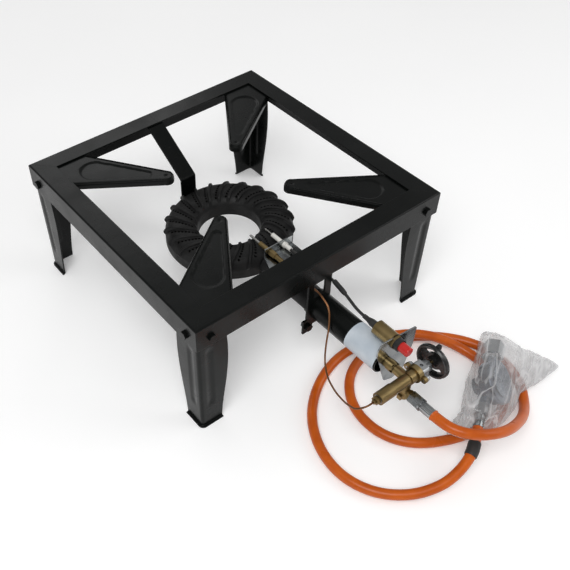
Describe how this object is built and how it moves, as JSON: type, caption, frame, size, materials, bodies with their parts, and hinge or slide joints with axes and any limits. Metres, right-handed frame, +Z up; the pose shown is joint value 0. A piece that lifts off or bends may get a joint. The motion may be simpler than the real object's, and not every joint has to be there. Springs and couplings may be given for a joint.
{
  "type": "stock pot range",
  "caption": "Low square gas stove with a ring burner, pot supports, a push igniter, a flame-failure tap and a gas hose with its bagged regulator.",
  "frame": {"origin": "on the floor under the middle of the square stand and of the ring burner", "axes": "+Z up; the mixer tube and the controls point along -Y; +X is to the right seen from the controls"},
  "size_m": [0.4398, 0.6695, 0.19],
  "materials": {
    "black_paint": "gloss black stove paint",
    "cast_iron": "matte black cast iron",
    "zinc_plate": "zinc-plated steel",
    "steel": "bright steel",
    "brass": "turned brass, dull",
    "copper": "drawn copper, browned",
    "zinc_alloy": "die-cast zinc alloy, grey",
    "orange_hose": "orange gas hose",
    "black_rubber": "black rubber",
    "black_plastic": "black phenolic",
    "red_plastic": "red plastic",
    "ceramic": "white glazed ceramic",
    "sticker": "pale film sticker, blank",
    "clear_film": "clear polythene film"
  },
  "bodies": {
    "stand": {"back_strap": "black_paint", "bonnet": "zinc_alloy", "bonnet_screws": "zinc_plate", "burner_bowl": "cast_iron", "burner_cap": "cast_iron", "burner_screws": "zinc_plate", "electrode_ceramic": "ceramic", "electrode_rod": "steel", "front_bracket": "black_paint", "gas_hose": "orange_hose", "hex_bolts": "black_paint", "hex_nuts": "zinc_plate", "hose_ferrule": "zinc_plate", "hose_nipple": "brass", "hose_nut": "zinc_plate", "hose_sleeve": "black_rubber", "igniter_body": "brass", "igniter_boot": "black_rubber", "igniter_collar": "black_plastic", "igniter_nut": "brass", "igniter_spring": "steel", "ignition_lead": "black_rubber", "injector": "brass", "injector_nut": "brass", "leg_back_left": "black_paint", "leg_back_right": "black_paint", "leg_front_left": "black_paint", "leg_front_right": "black_paint", "mixer_tube": "black_paint", "panel_plate": "zinc_plate", "panel_screws": "zinc_plate", "pot_support_back_left": "black_paint", "pot_support_back_right": "black_paint", "pot_support_front_left": "black_paint", "pot_support_front_right": "black_paint", "rail_back_left": "black_paint", "rail_back_right": "black_paint", "rail_front": "black_paint", "rail_left": "black_paint", "rail_right": "black_paint", "regulator_bag": "clear_film", "regulator_body": "zinc_alloy", "regulator_cover": "zinc_alloy", "regulator_ferrule": "zinc_plate", "return_spring": "steel", "safety_magnet": "steel", "sensor_bracket": "zinc_plate", "sensor_nut": "brass", "thermocouple_body": "brass", "thermocouple_capillary": "copper", "thermocouple_tip": "steel", "tube_label": "sticker", "valve_body": "brass"},
    "button": {"igniter_button": "red_plastic"},
    "push": {"push_pin": "brass", "safety_disc": "steel"},
    "knob": {"knob": "black_plastic", "spindle": "brass"},
    "plug": {"tap_plug": "brass"},
    "union_nut": {"regulator_nut": "zinc_alloy"}
  },
  "joints": [
    {"name": "igniter_press", "type": "slide", "parent": "stand", "child": "button", "axis": [0, 1, 0], "range_m": [0, 0.006], "stiffness_N_per_m": 400, "springref_m": -0.004, "deforming": ["igniter_spring"]},
    {"name": "knob_press", "type": "slide", "parent": "stand", "child": "push", "axis": [-1, 0, 0], "range_m": [0, 0.004], "stiffness_N_per_m": 1500, "springref_m": -0.004, "deforming": ["return_spring"]},
    {"name": "knob_turn", "type": "hinge", "parent": "push", "child": "knob", "pos_m": [0, -0.35, 0.1], "axis": [1, 0, 0], "range_deg": [0, 180]},
    {"name": "plug_turn", "type": "hinge", "parent": "stand", "child": "plug", "pos_m": [0, -0.35, 0.1], "axis": [1, 0, 0], "range_deg": [0, 180]},
    {"name": "union_nut_spin", "type": "hinge", "parent": "stand", "child": "union_nut", "pos_m": [0.16665, -0.35935, 0.03662], "axis": [0.8499, 0.5269, 0], "continuous": true}
  ],
  "couplings": [
    {"joint": "plug_turn", "follows": "knob_turn", "ratio": 1}
  ]
}
